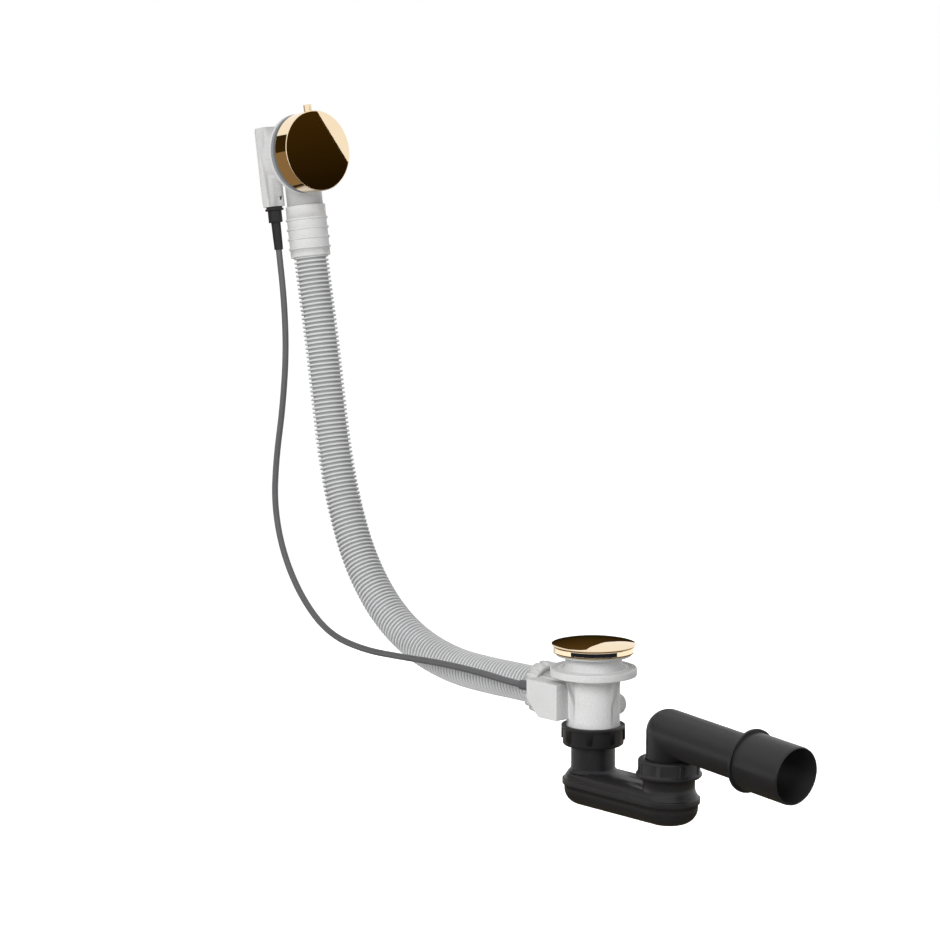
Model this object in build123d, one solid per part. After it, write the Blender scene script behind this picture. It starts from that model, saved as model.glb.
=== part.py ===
from build123d import *
import os
from math import acos, cos, pi, radians, sin, sqrt, tan

# Bath waste and overflow, in millimetres. The origin is on the waste's upright axis, on top of the
# white flange that draws up under the bath. +Z is up. +X runs from the overflow towards the trap's
# outlet, and the overflow, its hose, the waste, the trap and the outlet pipe all lie along it.

# Clearances
push_gap = 0.10
run_gap = 0.06
soft_gap = 0.30
thread_gap = 0.20

# Waste: what shows in the bath
bath_gap = 11.2
gasket_thick = 2.0
gasket_r = 33.0
ring_r = 36.0
ring_height = 3.6
ring_lip = 1.6
dish_depth = 2.2
throat_r = 21.0
skirt_wall = 1.5
cap_r = 37.1
cap_wall = 1.6
cap_crown = 3.3
cap_rim = 3.3
cap_gap = 2.3
cap_rim_thick = 3.2
seal_r = 29.5
seal_nut_r = 12.0
seal_nut_height = 3.0
stem_r = 3.0
foot_r = 4.0
foot_height = 2.2

# Waste: the white body under the bath
neck_r = 24.95
flange_r = 38.1
flange_thick = 6.8
flange_groove_pitch = 2.2
flange_groove_count = 3
flange_groove_width = 1.1
flange_groove_depth = 0.8
body_r = 23.3
body_wall = 2.2
body_bottom = -51.3
body_thread_r = 23.9
body_thread_length = 13.0
fin_reach = 33.5
fin_bottom = -31.3
fin_thick = 2.2
spider_top = -10.5
spider_thick = 5.0
spoke_width = 3.0
spoke_count = 4
hub_r = 8.0
guide_r = 4.8
guide_head_r = 7.5
guide_head_height = 2.0
blind_boss_r = 9.6
blind_boss_z = -36.5
blind_boss_end = 33.2
body_corner = 1.0

# Hose port on the body, and its union nut
port_z = -28.0
port_r = 17.0
port_bore_r = 14.0
port_end = 64.0
port_nut_start = 55.0
port_nut_length = 15.0
port_nut_r = 21.8
port_nut_collar_r = 20.6
port_nut_collar_length = 2.4
port_nut_lug_r = 23.6
port_nut_lug_length = 11.0
port_nut_lugs = 18
port_nut_lug_angle = 11.0
port_seal_thick = 2.0

# Lifting gear: shaft, finger and crank, in their housing on the side of the body
shaft_z = -32.0
shaft_r = 3.0
finger_r = 14.4
finger_start = 0.10
finger_thick = 6.0
finger_hub_r = 4.8
finger_depth = 3.6
crank_r = 12.0
crank_rest_angle = 81.0
crank_hub_r = 4.2
crank_eye_r = 2.2
crank_thick = 3.5
crank_pin_r = 1.4
crank_pin_length = 3.5
fork_left = 4.0
fork_right = 2.65
fork_height = 9.0
fork_thick = 2.6
fork_slack = 0.3
bearing_r = 6.0
bearing_end = -8.5
shaft_seal_y = -15.0
box_right = -7.6
box_length = 38.7
box_top = -12.6
box_height = 32.0
box_cut = 15.0
box_face = -37.5
box_seat = -23.5
box_wall = 2.0
box_corner = 1.2
box_edge = 0.8
oring_section = 1.6

# Nuts, trap and outlet
nut_r = 26.8
nut_pad_r = 28.1
nut_top = -50.6
nut_height = 18.1
nut_pad_height = 12.9
nut_band_height = 2.9
nut_pads = 8
nut_pad_angle = 9.5
nut_pad_first = 39.0
inlet_r = 19.4
pipe_wall = 1.8
inlet_top = -53.0
inlet_dip = -109.0
nut_web = 1.8
trap_length = 94.5
trap_top = -92.1
trap_seam = -101.0
trap_bottom = -121.5
trap_half_width = 25.2
trap_rim_half_width = 27.0
trap_rim_upper = 2.7
trap_rim_lower = 2.7
trap_top_round = 7.0
trap_bottom_round = 14.0
trap_wall = 2.0
inlet_fillet = 2.6
outlet_neck_r = 22.4
outlet_thread_r = 23.6
outlet_nut_top = -64.6
outlet_nut_bottom = -80.5
outlet_nut_r = 26.8
outlet_nut_pad_r = 27.6
outlet_nut_collar_r = 28.4
outlet_nut_collar_height = 3.2
outlet_nut_pad_first = 25.0
elbow_r = 20.0
elbow_axis_z = -42.0
elbow_foot = -86.0
pipe_fall = 4.7
pipe_length = 104.0
sleeve_overlap = 8.0
sleeve_length = 53.0
sleeve_r = 25.0
sleeve_collar_r = 27.5
sleeve_collar_thick = 2.8
sleeve_seal_back = 0.7

# Overflow head: its own frame stands on the bath's wall, which leans back
wall_x = -397.4
wall_z = 433.1
wall_lean = 9.5
wall_gap = 2.5
knob_r = 38.0
knob_depth = 17.0
knob_stand_off = 1.0
knob_wall = 2.2
knob_edge = 0.6
knob_hub_r = 8.0
knob_hub_length = 8.0
knob_pin_r = 3.9
knob_pin_out = 6.4
knob_pin_back = 8.7
spindle_r = 4.0
plate_r = 30.0
plate_thick = 2.2
plate_slots = 6
plate_slot_mid_r = 14.5
plate_slot_width = 6.0
plate_slot_angle = 28.0
plate_screw_r = 2.4
plate_screw_head_r = 4.2
plate_screw_head_height = 2.0
plate_screw_length = 24.0
screw_boss_wall = 1.9
overflow_seal_thick = 3.5
overflow_seal_inset = 0.6
overflow_hole_r = 26.0
overflow_flange_r = 38.0
overflow_flange_thick = 4.0
chamber_r = 24.5
chamber_depth = 29.0
chamber_wall = 2.0
chamber_edge = 3.0
overflow_neck_r = 17.1
overflow_neck_side = 14.0
overflow_neck_back = 28.0
overflow_neck_top = 2.0
cuff_top = -47.4
cuff_length = 48.6
cuff_r = 19.0
cuff_ring_r = 20.2
cuff_ring_thick = 2.0
cuff_ring_first = 12.7
cuff_ring_pitch = 9.2
cuff_rings = 4
cuff_socket = 24.0
spigot_r = 15.6

# Rack and pinion behind the overflow
knob_turn = 90.0
gear_module = 1.0
pinion_teeth = 12
gear_width = 7.0
gear_flank = 20.0
gear_backlash = 0.12
rack_teeth = 12
rack_addendum = 0.7
rack_back = 6.75
gear_back = 44.0
gear_wall = 2.0
mech_side = -11.0
mech_width = 17.0
mech_round = 4.0
mech_top = 30.0
mech_bottom = -45.5
mech_window = 3.6
mech_window_v = -38.0
mech_window_side = 3.3
cover_thick = 1.8
gland_collar_r = 7.7
gland_collar_height = 1.8
gland_ring_r = 8.9
gland_ring_thick = 2.0
gland_r = 6.7
gland_height = 15.0
relief_length = 26.0
box_relief_length = 15.5
relief_r = 4.6
relief_tip_r = 4.2
relief_flange_r = 5.6

# Hose and cable
hose_r = 16.7
hose_bore_r = 13.6
cable_r = 3.0
wire_r = 0.75
cable_side = -29.5

# Worked out from the sizes above
ring_base = bath_gap + gasket_thick
ring_top = ring_base + ring_height
cap_base = ring_top + cap_gap
cap_tip = cap_base + cap_rim
dish_slope = dish_depth / (ring_r - ring_lip - throat_r - 2.0)
seal_low = ring_top - dish_slope * (ring_r - ring_lip - seal_r) + soft_gap
neck_bore_r = throat_r + skirt_wall + push_gap
body_bore_r = body_r - body_wall
body_end = body_bottom - body_thread_length
skirt_end = spider_top + spider_thick - 1.5
swing = knob_turn * (gear_module * pinion_teeth / 2) / crank_r
lift = finger_r * radians(swing)
shaft_x = -finger_r
foot_z = shaft_z + finger_r * finger_start + push_gap
bath_wall_to_flange = wall_gap + overflow_seal_thick
pinion_r = gear_module * pinion_teeth / 2
rack_travel = pinion_r * radians(knob_turn)
crank_high = crank_r
crank_low = crank_r * min(sin(radians(crank_rest_angle)), sin(radians(crank_rest_angle + swing)))
wire_pull = crank_r * (cos(radians(crank_rest_angle)) - cos(radians(crank_rest_angle + swing)))
box_left = box_right - box_length
crank_y = box_seat - 0.7 - crank_thick / 2
box_bottom = box_top - box_height
hose_start_v = cuff_top - cuff_socket
screw_boss_r = plate_screw_r + screw_boss_wall
plate_screw_spread = chamber_r - chamber_wall - screw_boss_r + 0.4
sleeve_start = pipe_length - sleeve_overlap
sleeve_end = sleeve_start + sleeve_length

head_out = (cos(radians(wall_lean)), 0, sin(radians(wall_lean)))
head = Plane(origin=(wall_x, 0, wall_z), x_dir=(0, 1, 0), z_dir=head_out)


def head_point(side, up, out):
    """A place given in the overflow head's frame, in the part's frame."""
    return head.from_local_coords(Vector(side, up, out))


# The hose hangs from the overflow's neck and bends round to the port on the body
hose_side = overflow_neck_side
hose_route = [
    head_point(hose_side, hose_start_v, -overflow_neck_back),
    head_point(hose_side, hose_start_v - 32, -overflow_neck_back),
    Vector(-395, 13.6, 268),
    Vector(-382, 12.2, 202),
    Vector(-370, 10.6, 146),
    Vector(-353, 8.8, 96),
    Vector(-327, 6.6, 48),
    Vector(-289, 4.4, 9),
    Vector(-242, 2.4, -16),
    Vector(-188, 0.9, -27.9),
    Vector(-136, 0.2, -28.9),
    Vector(-98, 0, port_z),
    Vector(-port_end - port_seal_thick, 0, port_z),
]

# The cable leaves the gland behind the overflow and runs to the housing on the body
gland_end_v = mech_bottom - gland_height
cable_z = shaft_z + (crank_high + crank_low) / 2
cable_route = [
    head_point(mech_side, gland_end_v, -gear_back),
    head_point(mech_side, gland_end_v - 31, -gear_back),
    Vector(-417.5, -12, 291),
    Vector(-414.5, -12.6, 243),
    Vector(-418.5, -14.2, 190),
    Vector(-426.5, -16.4, 140),
    Vector(-427.5, -18.4, 95),
    Vector(-412, -20.4, 50),
    Vector(-380, -22.6, 10),
    Vector(-337, -25, -17),
    Vector(-284, -26.6, -24),
    Vector(-228, -28, -22),
    Vector(-168, -29.2, -18.6),
    Vector(-112, -29.6, -19),
    Vector(-79, cable_side, cable_z),
    Vector(box_left - 12.0, cable_side, cable_z),
]


def turned(points, radii=0):
    """A solid turned about Z from a closed outline of (radius, height), with its corners rounded."""
    if radii == 0:
        radii = [0] * len(points)
    outline = FilletPolyline(*points, radius=radii, close=True)
    return revolve(make_face(Plane.XZ * outline), Axis.Z)


def rod(radius, low, high):
    """An upright round bar on Z between two heights."""
    return Pos(0, 0, low) * Cylinder(radius, high - low, align=(Align.CENTER, Align.CENTER, Align.MIN))


def tube(outer, inner, low, high):
    """An upright round tube on Z between two heights."""
    return rod(outer, low, high) - rod(inner, low, high)


def dome_middle(half, rise, top):
    """A point half way out on a spherical cap, given its half width, rise and top height."""
    radius = (half**2 + rise**2) / (2 * rise)
    return (half / 2, top - radius + sqrt(radius**2 - half**2 / 4))


def ring_pads(inner, outer, low, high, count, angle, first=0.0):
    """Pads spaced evenly round Z, between two radii and two heights, each a given angle wide."""
    band = tube(outer, inner, low, high)
    reach = outer * 2
    side = reach * tan(radians(angle / 2))
    wedge = Polyline((0, 0), (reach, side), (reach, -side), close=True)
    wedge = Pos(0, 0, low) * extrude(make_face(wedge), high - low)
    return [band & (Rot(0, 0, first + 360 / count * i) * wedge) for i in range(count)]


def slot_solid(half_width, low, high):
    """The trap's plan, two half rounds joined by straights, between two heights."""
    plan = Pos(trap_length / 2, 0, low) * SlotCenterToCenter(trap_length, 2 * half_width)
    return extrude(plan, high - low)


def along_x(shape, z):
    """Turn a piece made on Z to lie on -X at the given height, with its Z as the distance out."""
    return Pos(0, 0, z) * Rot(0, -90, 0) * shape


def bend_radii(route):
    """The largest arc at each corner of a route that its two runs leave room for."""
    radii = []
    for before, here, after in zip(route, route[1:], route[2:]):
        first = here - before
        second = after - here
        turn = radians(first.get_angle(second))
        radii.append(0.45 * min(first.length, second.length) / tan(turn / 2))
    return radii


def swept(route, outer, inner=0.0):
    """A round cord or hose along a route of straight runs and tangent arcs."""
    radii = bend_radii(route)
    path = FilletPolyline(*route, radius=radii)
    section = Plane(origin=route[0], z_dir=route[1] - route[0])
    face = section * Circle(outer)
    if inner:
        face -= section * Circle(inner)
    return sweep(face, path=path), path, radii


def waste_ring():
    """Gold ring with a shallow dish, a skirt down the neck and a grid with a hub for the screw."""
    dish_r = ring_r - ring_lip
    floor_z = ring_top - dish_depth
    outline = [
        (neck_bore_r - push_gap, ring_base),
        (ring_r - 1.3, ring_base),
        (ring_r, ring_base + ring_height * 0.6),
        (ring_r, ring_top),
        (dish_r, ring_top),
        (throat_r + 2.0, floor_z),
        (throat_r, floor_z - 2.0),
        (throat_r, skirt_end),
        (neck_bore_r - push_gap, skirt_end),
    ]
    ring = turned(outline, [0.4, 1.0, 0.8, 0.8, 0.4, 1.2, 1.2, 0, 0])
    grid_top = skirt_end + 3.5
    spokes = rod(hub_r, skirt_end, grid_top)
    for i in range(spoke_count):
        spoke = Pos(throat_r / 2, 0, skirt_end + 1.75) * Box(throat_r + 0.4, spoke_width, 3.5)
        spokes += Rot(0, 0, 45 + 360 / spoke_count * i) * spoke
    bore = rod(guide_r + push_gap, skirt_end, grid_top)
    return ring + spokes - bore


def ring_gasket():
    """Flat clear gasket between the ring and the bath."""
    return turned([
        (neck_r + soft_gap, bath_gap), (gasket_r, bath_gap),
        (gasket_r, ring_base), (neck_r + soft_gap, ring_base),
    ], [0, 0.5, 0.5, 0])


def plug_cap():
    """Gold cap: a shallow dome with its rim rolled under."""
    crown = cap_tip + cap_crown
    arc = ThreePointArc((0, crown), dome_middle(cap_r - 0.6, cap_crown, crown), (cap_r - 0.6, cap_tip))
    rim = ThreePointArc((cap_r - 0.6, cap_tip), (cap_r, cap_tip - 1.1), (cap_r - 1.4, cap_base))
    inner_r = cap_r - cap_rim_thick
    inner_z = cap_tip - cap_wall
    under = crown - cap_wall
    foot = Polyline((cap_r - 1.4, cap_base), (inner_r, cap_base), (inner_r, inner_z))
    inside = ThreePointArc((inner_r, inner_z), dome_middle(inner_r, under - inner_z, under), (0, under))
    axis = Line((0, under), (0, crown))
    face = make_face(Plane.XZ * (arc + rim + foot + inside + axis))
    return revolve(face, Axis.Z)


def plug_body():
    """Plastic disc inside the cap, with the boss that takes the stem and carries the seal."""
    disc_top = cap_tip - cap_wall - push_gap
    under_crown = cap_tip + cap_crown - cap_wall
    disc_r = cap_r - cap_rim_thick - push_gap
    return turned([
        (stem_r, cap_base - 1.0), (foot_r + 3.0, cap_base - 1.0), (foot_r + 3.0, cap_base),
        (disc_r, cap_base), (disc_r, disc_top), (foot_r + 3.0, disc_top),
        (foot_r + 2.0, under_crown - 0.4), (stem_r, under_crown - 0.4),
    ])


def plug_seal():
    """Rubber ring under the cap that closes on the dish."""
    low = seal_low
    inner = foot_r + 3.0 + push_gap
    return turned([
        (inner, low), (seal_r - 2.0, low), (seal_r, low + 0.5), (seal_r, low + 1.2),
        (seal_r - 3.0, cap_base), (inner, cap_base),
    ], [0, 0.6, 0.4, 0.4, 0, 0])


def seal_nut():
    """Washer nut on the stem that holds the seal up against the plug's disc."""
    top = seal_low
    washer = turned([
        (stem_r + run_gap, top - 1.0), (seal_nut_r, top - 1.0), (seal_nut_r, top), (foot_r + 3.0, top),
        (foot_r + 3.0, cap_base - 1.0), (stem_r + run_gap, cap_base - 1.0),
    ])
    hexagon = RegularPolygon(stem_r + 3.2, 6)
    nut = extrude(Pos(0, 0, top - 1.0 - seal_nut_height) * hexagon, seal_nut_height)
    return washer + nut - rod(stem_r + run_gap, top - 2 - seal_nut_height, top)


def plug_stem():
    """Brass stem from the plug down to its foot on the lifting finger."""
    top = cap_tip + cap_crown - cap_wall - 0.4
    return turned([
        (0, foot_z), (foot_r, foot_z), (foot_r, foot_z + foot_height), (stem_r, foot_z + foot_height + 1.0),
        (stem_r, top), (0, top),
    ], [0, 0.5, 0.3, 0, 0.3, 0])


def guide_screw():
    """Hollow screw that draws the ring down on to the body and guides the stem."""
    head_low = skirt_end + 3.5
    low = spider_top - spider_thick
    screw = turned([
        (stem_r + run_gap, low), (guide_r, low), (guide_r, head_low), (guide_head_r, head_low),
        (guide_head_r, head_low + guide_head_height), (stem_r + run_gap, head_low + guide_head_height),
    ], [0, 0.5, 0, 0, 0.5, 0])
    slot = Pos(0, 0, head_low + guide_head_height) * Box(2 * guide_head_r + 1, 1.6, 2.0)
    return screw - slot


def side_pad_outline(grow=0.0):
    """The housing's outline in X and Z, with its lower corner at the hose end cut away."""
    left = box_left - grow
    right = box_right + grow
    low = box_bottom - grow
    return FilletPolyline(
        (left, box_top + grow), (right, box_top + grow), (right, low), (left + box_cut, low),
        (left, low + box_cut), radius=[max(box_corner + grow, 0.4)] * 5, close=True)


def side_block(near, far, grow=0.0):
    """A block with the housing's outline between two places on Y."""
    middle = Plane(origin=(0, (near + far) / 2, 0), x_dir=(1, 0, 0), z_dir=(0, -1, 0))
    return extrude(make_face(middle * side_pad_outline(grow)), (far - near) / 2, both=True)


def waste_body():
    """White moulding: neck, flange, tube, fins, hose port, side pad and the screw's hub."""
    outside = turned([
        (0, body_end), (body_thread_r, body_end), (body_thread_r, body_bottom), (body_r, body_bottom + 0.4),
        (body_r, -flange_thick), (flange_r, -flange_thick), (flange_r, 0), (neck_r + 3.2, 0),
        (neck_r + 2.6, -0.8), (neck_r, -0.8), (neck_r, ring_base - soft_gap), (0, ring_base - soft_gap),
    ], [0, 0.5, 0.2, 0.2, 1.6, 1.0, 1.0, 0.3, 0.3, 0.3, 0.5, 0])
    groove_r = flange_r - 2.6
    for i in range(flange_groove_count):
        middle = groove_r - i * flange_groove_pitch
        half = flange_groove_width / 2
        outside -= tube(middle + half, middle - half, -flange_groove_depth, 1)

    fin = Polyline((body_r - 1.5, -flange_thick), (fin_reach, -flange_thick), (body_r, fin_bottom),
                   (body_r - 1.5, fin_bottom), close=True)
    fin = extrude(make_face(Plane.XZ * fin), fin_thick / 2, both=True)
    for angle in (0, 90, -90):
        outside += Rot(0, 0, angle) * fin

    boss_length = blind_boss_end - body_bore_r
    boss = turned([(0, 0), (blind_boss_r, 0), (blind_boss_r, boss_length - 3.0), (blind_boss_r - 2.0, boss_length),
                   (0, boss_length)], [0, 0, 2.5, 2.5, 0])
    outside += Pos(0, body_bore_r, blind_boss_z) * Rot(-90, 0, 0) * boss

    port = tube(port_r, 0.01, 10, port_end)
    outside += along_x(port, port_z)
    outside += side_block(box_seat, -port_r + 3.0)

    body = outside - rod(neck_bore_r, skirt_end, ring_base) - rod(body_bore_r, body_end - 1, skirt_end + 0.01)
    body -= along_x(rod(port_bore_r, body_bore_r - 4.0, port_end + 1), port_z)

    hub = rod(hub_r, spider_top - spider_thick, spider_top)
    for i in range(spoke_count):
        spoke = Pos(body_bore_r / 2, 0, spider_top - spider_thick / 2)
        hub += Rot(0, 0, 360 / spoke_count * i) * (spoke * Box(body_bore_r + 0.6, spoke_width, spider_thick))
    body += hub - rod(guide_r + push_gap, spider_top - spider_thick - 1, spider_top + 1)

    bearing = Cylinder(bearing_r, bearing_end - box_seat - 1.0, align=(Align.CENTER, Align.CENTER, Align.MIN))
    body += Pos(shaft_x, bearing_end, shaft_z) * Rot(90, 0, 0) * bearing
    bore = Cylinder(shaft_r + run_gap, 40, align=(Align.CENTER, Align.CENTER, Align.MIN))
    body -= Pos(shaft_x, bearing_end + 1, shaft_z) * Rot(90, 0, 0) * bore
    groove = Cylinder(shaft_r + run_gap + oring_section + 0.1, oring_section + 0.4)
    body -= Pos(shaft_x, shaft_seal_y, shaft_z) * Rot(90, 0, 0) * groove
    return body


def shaft_seal():
    """O-ring that keeps the water out of the side housing."""
    middle = shaft_r + run_gap + 0.05 + oring_section / 2
    return Pos(shaft_x, shaft_seal_y, shaft_z) * Rot(90, 0, 0) * Torus(middle, oring_section / 2)


def on_shaft(shape, y):
    """Put a piece drawn on the XZ plane about the shaft's axis at its place along Y."""
    return Pos(shaft_x, y, shaft_z) * shape


def lift_shaft():
    """Steel shaft from the crank in the side housing to the finger under the stem."""
    near = bearing_end + 1.0 + finger_thick + 4.5
    length = near - (box_face + box_wall + 1.2)
    shaft = Cylinder(shaft_r, length, align=(Align.CENTER, Align.CENTER, Align.MIN))
    return on_shaft(Rot(90, 0, 0) * shaft, near)


def lift_finger():
    """Finger that raises the stem: its top is an involute, so equal turns give equal lifts."""
    last = radians(swing) + 0.08
    steps = 12
    curve = []
    for i in range(steps + 1):
        angle = finger_start - (finger_start + last) * i / steps
        unwound = finger_start - angle
        curve.append((finger_r * (cos(angle) - unwound * sin(angle)),
                      finger_r * (sin(angle) + unwound * cos(angle))))
    top = Spline(*curve)
    tip = curve[-1]
    under = Polyline(tip, (tip[0] - 1.0, tip[1] - finger_depth * 0.6), (2.0, -finger_hub_r + 0.4), (0, 0),
                     (2.0, curve[0][1] - 0.2), curve[0])
    arm = extrude(make_face(Plane.XZ * (top + under)), finger_thick / 2, both=True)
    hub = Rot(90, 0, 0) * Cylinder(finger_hub_r, finger_thick)
    bore = Rot(90, 0, 0) * Cylinder(shaft_r + push_gap, finger_thick + 1)
    return on_shaft(arm + hub - bore, 0)


def lift_crank():
    """Crank on the outer end of the shaft, with the pin that the cable's wire pulls."""
    angle = radians(crank_rest_angle)
    pin_x = crank_r * cos(angle)
    pin_z = crank_r * sin(angle)
    arm = Pos(pin_x / 2, 0, pin_z / 2) * Rot(0, -crank_rest_angle, 0) * Box(crank_r, crank_thick, 4.4)
    crank = arm + Rot(90, 0, 0) * Cylinder(crank_hub_r, crank_thick)
    crank += Pos(pin_x, 0, pin_z) * Rot(90, 0, 0) * Cylinder(crank_eye_r, crank_thick)
    pin = Cylinder(crank_pin_r, crank_pin_length, align=(Align.CENTER, Align.CENTER, Align.MIN))
    crank += Pos(pin_x, -crank_thick / 2, pin_z) * Rot(90, 0, 0) * pin
    crank -= Rot(90, 0, 0) * Cylinder(shaft_r + push_gap, crank_thick + 1)
    return on_shaft(crank, crank_y)


def lower_wire():
    """The wire's lower end, with the slotted eye that pulls the crank's pin."""
    pin_x = shaft_x + crank_r * cos(radians(crank_rest_angle))
    eye = Pos(pin_x + (fork_right - fork_left) / 2, cable_side, cable_z) \
        * Box(fork_left + fork_right, fork_thick, fork_height)
    slot_height = crank_high - crank_low + 2 * crank_pin_r + 2 * fork_slack
    slot = Box(2 * crank_pin_r + 2 * fork_slack, fork_thick + 1, slot_height)
    low = box_left - 2.0
    wire = Cylinder(wire_r, pin_x - fork_left + 0.5 - low, align=(Align.CENTER, Align.CENTER, Align.MIN))
    wire = Pos(low, cable_side, cable_z) * Rot(0, 90, 0) * wire
    return eye - Pos(pin_x, cable_side, cable_z) * slot + wire


def lever_box():
    """White cover over the crank, closed on the side away from the body."""
    shell = side_block(box_face, box_seat)
    edges = shell.faces().sort_by(Axis.Y)[0].edges()
    shell = fillet(edges, box_edge)
    shell -= side_block(box_face + box_wall, box_seat + 1, -box_wall)
    hole = Cylinder(relief_r + push_gap, 3 * box_wall)
    return shell - Pos(box_left, cable_side, cable_z) * Rot(0, 90, 0) * hole


def cable_relief(length):
    """Tapered rubber sleeve on the cable, with a flange that stays inside the housing wall."""
    return turned([
        (cable_r + push_gap, -box_wall - 1.5), (relief_flange_r, -box_wall - 1.5), (relief_flange_r, -box_wall),
        (relief_r, -box_wall), (relief_r, 0), (relief_r, length * 0.1), (relief_tip_r, length),
        (cable_r + push_gap, length),
    ], [0, 0.3, 0, 0, 0, 0, 0.4, 0])


def box_relief():
    """Strain relief where the cable goes into the side housing."""
    return Pos(box_left, cable_side, cable_z) * Rot(0, -90, 0) * cable_relief(box_relief_length)


def port_nut():
    """White union nut with grip lugs that holds the hose on the body's port."""
    end = port_nut_start + port_nut_length
    collar = end - port_nut_collar_length
    nut = turned([
        (port_r + thread_gap, port_nut_start), (port_nut_r, port_nut_start), (port_nut_r, collar),
        (port_nut_collar_r, collar + 0.8), (port_nut_collar_r, end), (hose_r + push_gap, end),
        (hose_r + push_gap, port_end + port_seal_thick), (port_r + thread_gap, port_end + port_seal_thick),
    ], [0, 1.0, 0.4, 0.4, 0.8, 0, 0, 0])
    low = port_nut_start + 0.8
    high = low + port_nut_lug_length
    for pad in ring_pads(port_nut_r - 1, port_nut_lug_r, low, high, port_nut_lugs, port_nut_lug_angle, 18):
        nut += pad
    return along_x(nut, port_z)


def port_seal():
    """Rubber ring between the port's end and the hose."""
    ring = turned([
        (port_bore_r, port_end), (port_r - 0.4, port_end), (hose_r - 0.4, port_end + port_seal_thick),
        (port_bore_r, port_end + port_seal_thick),
    ])
    return along_x(ring, port_z)


def body_nut():
    """Black union nut that draws the trap's inlet up to the body."""
    low = nut_top - nut_height
    nut = turned([
        (body_thread_r + thread_gap, nut_top), (body_thread_r + thread_gap, low + nut_web + 0.8),
        (inlet_r + push_gap, low + nut_web), (inlet_r + push_gap, low), (nut_r, low),
        (nut_r, nut_top - nut_band_height), (nut_pad_r, nut_top - nut_band_height), (nut_pad_r, nut_top),
    ], [0.4, 0.3, 0, 0, 2.4, 0.3, 0.4, 0.9])
    rib_low = nut_top - nut_pad_height
    rib_high = nut_top - nut_band_height + 0.5
    for rib in ring_pads(nut_r - 1, nut_pad_r, rib_low, rib_high, nut_pads, nut_pad_angle, nut_pad_first):
        nut += rib
    return nut


def body_nut_seal():
    """Tapered rubber washer squeezed between the body's end and the nut."""
    low = nut_top - nut_height + nut_web + push_gap
    return turned([
        (inlet_r + push_gap, body_end), (body_thread_r - 0.4, body_end), (body_thread_r - 0.4, low + 0.8),
        (inlet_r + push_gap, low),
    ])


def trap_upper():
    """Black upper half of the trap, with the inlet tube and the outlet neck."""
    shell = slot_solid(trap_half_width, trap_seam, trap_top)
    shell = fillet(shell.faces().sort_by(Axis.Z)[-1].edges(), trap_top_round)
    inner = slot_solid(trap_half_width - trap_wall, trap_seam, trap_top - trap_wall)
    inner = fillet(inner.faces().sort_by(Axis.Z)[-1].edges(), trap_top_round - trap_wall)
    rim = slot_solid(trap_rim_half_width, trap_seam, trap_seam + trap_rim_upper)
    rim = fillet(rim.faces().sort_by(Axis.Z)[-1].edges(), 0.9)
    foot = turned([
        (0, trap_top - 1), (inlet_r + inlet_fillet, trap_top), (inlet_r, trap_top + inlet_fillet),
        (inlet_r, inlet_top), (0, inlet_top),
    ], [0, 0, 1.8, 0.8, 0])
    neck = turned([
        (0, trap_seam + 1), (trap_half_width - 1.2, trap_seam + 3.4), (outlet_neck_r, trap_top + 2.4),
        (outlet_neck_r, outlet_nut_bottom + 1.0), (outlet_thread_r, outlet_nut_bottom + 2.0),
        (outlet_thread_r, outlet_nut_top - 4.0), (0, outlet_nut_top - 4.0),
    ], [0, 1.0, 3.0, 0, 0, 0.8, 0])
    neck = Pos(trap_length, 0, 0) * neck
    outer = shell + rim + foot + neck
    bore_r = inlet_r - pipe_wall
    outer -= inner
    outer += rod(inlet_r, inlet_dip, trap_top - 1)
    outer -= rod(bore_r, inlet_dip - 1, inlet_top + 1)
    outer -= Pos(trap_length, 0, 0) * rod(elbow_r + push_gap, trap_top - trap_wall - 3, outlet_nut_top)
    return outer


def trap_lower():
    """Black lower half of the trap, welded to the upper half at the seam."""
    shell = slot_solid(trap_half_width, trap_bottom, trap_seam)
    shell = fillet(shell.faces().sort_by(Axis.Z)[0].edges(), trap_bottom_round)
    inner = slot_solid(trap_half_width - trap_wall, trap_bottom + trap_wall, trap_seam)
    inner = fillet(inner.faces().sort_by(Axis.Z)[0].edges(), trap_bottom_round - trap_wall)
    rim = slot_solid(trap_rim_half_width, trap_seam - trap_rim_lower, trap_seam)
    rim = fillet(rim.faces().sort_by(Axis.Z)[0].edges(), 0.9)
    return shell + rim - inner


def outlet_nut():
    """Black union nut that holds the elbow down in the trap's outlet."""
    seal_low = outlet_nut_top - 4.0
    nut = turned([
        (outlet_thread_r + thread_gap, outlet_nut_bottom), (outlet_nut_collar_r - 1.4, outlet_nut_bottom),
        (outlet_nut_collar_r, outlet_nut_bottom + 1.4),
        (outlet_nut_collar_r, outlet_nut_bottom + outlet_nut_collar_height),
        (outlet_nut_r, outlet_nut_bottom + outlet_nut_collar_height + 1.4), (outlet_nut_r, outlet_nut_top),
        (elbow_r + push_gap + 1.2, outlet_nut_top), (elbow_r + push_gap, outlet_nut_top - 1.0),
        (elbow_r + push_gap, seal_low + 2.2), (outlet_thread_r + thread_gap, seal_low + 1.2),
    ], [0, 0.6, 0.8, 1.0, 1.0, 2.0, 1.0, 0, 0, 0])
    low = outlet_nut_bottom + outlet_nut_collar_height - 0.5
    high = outlet_nut_top - 2.6
    for rib in ring_pads(outlet_nut_r - 1, outlet_nut_pad_r, low, high, nut_pads, nut_pad_angle, outlet_nut_pad_first):
        nut += rib
    return Pos(trap_length, 0, 0) * nut


def outlet_seal():
    """Rubber washer on top of the trap's outlet neck, round the elbow."""
    low = outlet_nut_top - 4.0
    ring = turned([
        (elbow_r + push_gap, low), (outlet_thread_r - 0.3, low), (outlet_thread_r - 0.3, low + 1.0),
        (elbow_r + push_gap, low + 2.0),
    ])
    return Pos(trap_length, 0, 0) * ring


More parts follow.
